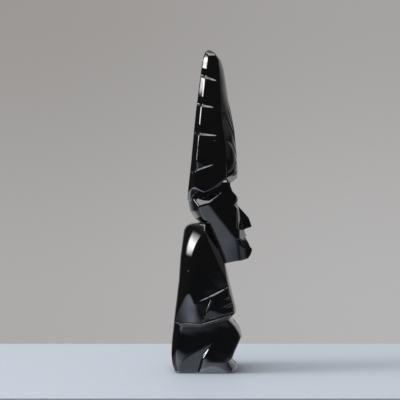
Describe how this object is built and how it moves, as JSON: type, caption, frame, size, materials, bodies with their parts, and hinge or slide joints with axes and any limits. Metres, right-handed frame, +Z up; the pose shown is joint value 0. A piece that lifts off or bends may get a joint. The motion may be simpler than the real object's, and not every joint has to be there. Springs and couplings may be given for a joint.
{
  "type": "obsidian totem",
  "caption": "Standing idol in polished black obsidian with a tall pointed feather headdress, folded arms and bent knees; rests upright on its flat ground underside.",
  "frame": {"origin": "middle of the figure's footprint box, on the plane it stands on", "axes": "+Z up along the figure's height; the figure faces -Y, with its back to +Y; X runs from side to side, and the figure is alike on both sides of X = 0"},
  "size_m": [0.052, 0.05, 0.2],
  "materials": {
    "obsidian": "polished to a gloss, volcanic glass black"
  },
  "bodies": {
    "root": {"totem": "obsidian"}
  },
  "joints": []
}
